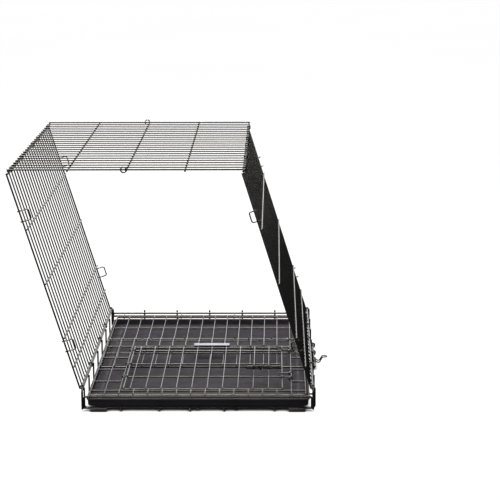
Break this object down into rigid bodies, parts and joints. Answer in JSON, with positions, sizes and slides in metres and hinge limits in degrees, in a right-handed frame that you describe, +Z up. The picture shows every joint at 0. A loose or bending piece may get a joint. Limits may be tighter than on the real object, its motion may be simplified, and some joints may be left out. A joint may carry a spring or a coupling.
{
  "type": "wire dog crate",
  "caption": "Folding black wire dog crate, half folded: leaning side and top panels over a base with a slide-out plastic pan, end panels lying flat, one with a bolted door.",
  "frame": {"origin": "middle of the base, on the floor that its feet rest on", "axes": "+Z up, front (the end with the door) towards -Y, +X to the right seen from the front"},
  "size_m": [0.8294, 0.932, 0.6435],
  "materials": {
    "black_wire": "glossy black coated steel wire",
    "black_fittings": "glossy black coated rings, hooks and bolt",
    "pan_plastic": "grained black moulded plastic",
    "foot_plastic": "satin black moulded plastic",
    "grip_plastic": "satin dark grey moulded plastic",
    "plate_metal": "satin light grey plate, blank"
  },
  "bodies": {
    "base": {"base_bottom_rails": "black_wire", "front_hinge_rail": "black_wire", "rear_hinge_rail": "black_wire", "rear_top_rail": "black_wire", "side_rail_left": "black_wire", "side_rail_right": "black_wire", "base_corner_posts": "black_wire", "base_cross_wires": "black_wire", "base_side_legs": "black_wire", "carry_rail": "black_wire", "floor_long_wires": "black_wire", "rear_wall_posts": "black_wire", "pan_stop_wire": "black_wire", "base_feet": "foot_plastic"},
    "pan": {"pan_tray": "pan_plastic"},
    "left_panel": {"left_panel_rails": "black_wire", "left_panel_uprights": "black_wire", "left_panel_end_wires": "black_wire", "left_panel_cross_wires": "black_wire", "left_panel_eyelets": "black_wire", "left_hinge_rings": "black_fittings"},
    "right_panel": {"right_panel_rails": "black_wire", "right_panel_uprights": "black_wire", "right_panel_end_wires": "black_wire", "right_panel_cross_wires": "black_wire", "right_panel_eyelets": "black_wire", "right_hinge_rings": "black_fittings"},
    "top_panel": {"top_panel_rails": "black_wire", "top_panel_wires": "black_wire", "top_panel_end_wires": "black_wire", "top_panel_long_wires": "black_wire", "top_left_hinge_rings": "black_fittings", "top_right_hinge_rings": "black_fittings", "top_panel_eyelets": "black_wire"},
    "front_panel": {"front_panel_hinge_wire": "black_wire", "front_panel_hinge_rings": "black_fittings", "front_panel_left_wires": "black_wire", "front_panel_right_wires": "black_wire", "front_panel_sill_wires": "black_wire", "front_panel_head_wires": "black_wire", "front_panel_cross_wires": "black_wire", "front_panel_ties": "black_wire", "name_plate": "plate_metal", "front_panel_hooks": "black_fittings", "door_keepers": "black_fittings"},
    "front_door": {"door_side_wires": "black_wire", "door_uprights": "black_wire", "door_cross_wires": "black_wire", "door_hinge_curls": "black_fittings", "bolt_guides": "black_fittings"},
    "door_bolt": {"slide_bolt": "black_fittings", "bolt_ring": "black_fittings"},
    "rear_panel": {"rear_panel_hinge_wire": "black_wire", "rear_panel_hinge_rings": "black_fittings", "rear_panel_uprights": "black_wire", "rear_panel_cross_wires": "black_wire"},
    "carry_handle": {"handle_wires": "black_wire", "handle_grip": "grip_plastic"},
    "fold_clip": {"clip_eyes": "black_fittings", "closure_clip": "black_fittings"}
  },
  "joints": [
    {"name": "side_fold", "type": "hinge", "parent": "base", "child": "right_panel", "pos_m": [0.3, 0, 0.057], "axis": [0, 1, 0], "range_deg": [-67, 17.3]},
    {"name": "left_fold", "type": "hinge", "parent": "base", "child": "left_panel", "pos_m": [-0.3, 0, 0.057], "axis": [0, 1, 0], "range_deg": [-67, 17.3]},
    {"name": "top_fold", "type": "hinge", "parent": "left_panel", "child": "top_panel", "pos_m": [-0.47694, 0, 0.62508], "axis": [0, 1, 0], "range_deg": [-17.3, 67]},
    {"name": "front_panel_lift", "type": "hinge", "parent": "base", "child": "front_panel", "pos_m": [0, -0.455, 0.038], "axis": [1, 0, 0], "range_deg": [0, 4.5]},
    {"name": "rear_panel_lift", "type": "hinge", "parent": "base", "child": "rear_panel", "pos_m": [0, 0.455, 0.036], "axis": [-1, 0, 0], "range_deg": [0, 2.25]},
    {"name": "door_swing", "type": "hinge", "parent": "front_panel", "child": "front_door", "pos_m": [-0.20625, -0.2, 0.045], "axis": [0, -1, 0], "range_deg": [0, 95]},
    {"name": "bolt_slide", "type": "slide", "parent": "front_door", "child": "door_bolt", "axis": [1, 0, 0], "range_m": [0, 0.026]},
    {"name": "pan_slide", "type": "slide", "parent": "base", "child": "pan", "axis": [0, -1, 0], "range_m": [0, 0.85]},
    {"name": "handle_swing", "type": "hinge", "parent": "base", "child": "carry_handle", "pos_m": [0.3085, 0, 0.05], "axis": [0, -1, 0], "range_deg": [0, 100]},
    {"name": "clip_swing", "type": "hinge", "parent": "base", "child": "fold_clip", "pos_m": [0.3085, -0.128, 0.05], "axis": [0, -1, 0], "range_deg": [-75, 60]}
  ],
  "couplings": [
    {"joint": "left_fold", "follows": "side_fold", "ratio": 1},
    {"joint": "top_fold", "follows": "side_fold", "ratio": -1},
    {"joint": "rear_panel_lift", "follows": "front_panel_lift", "ratio": 0.5}
  ]
}
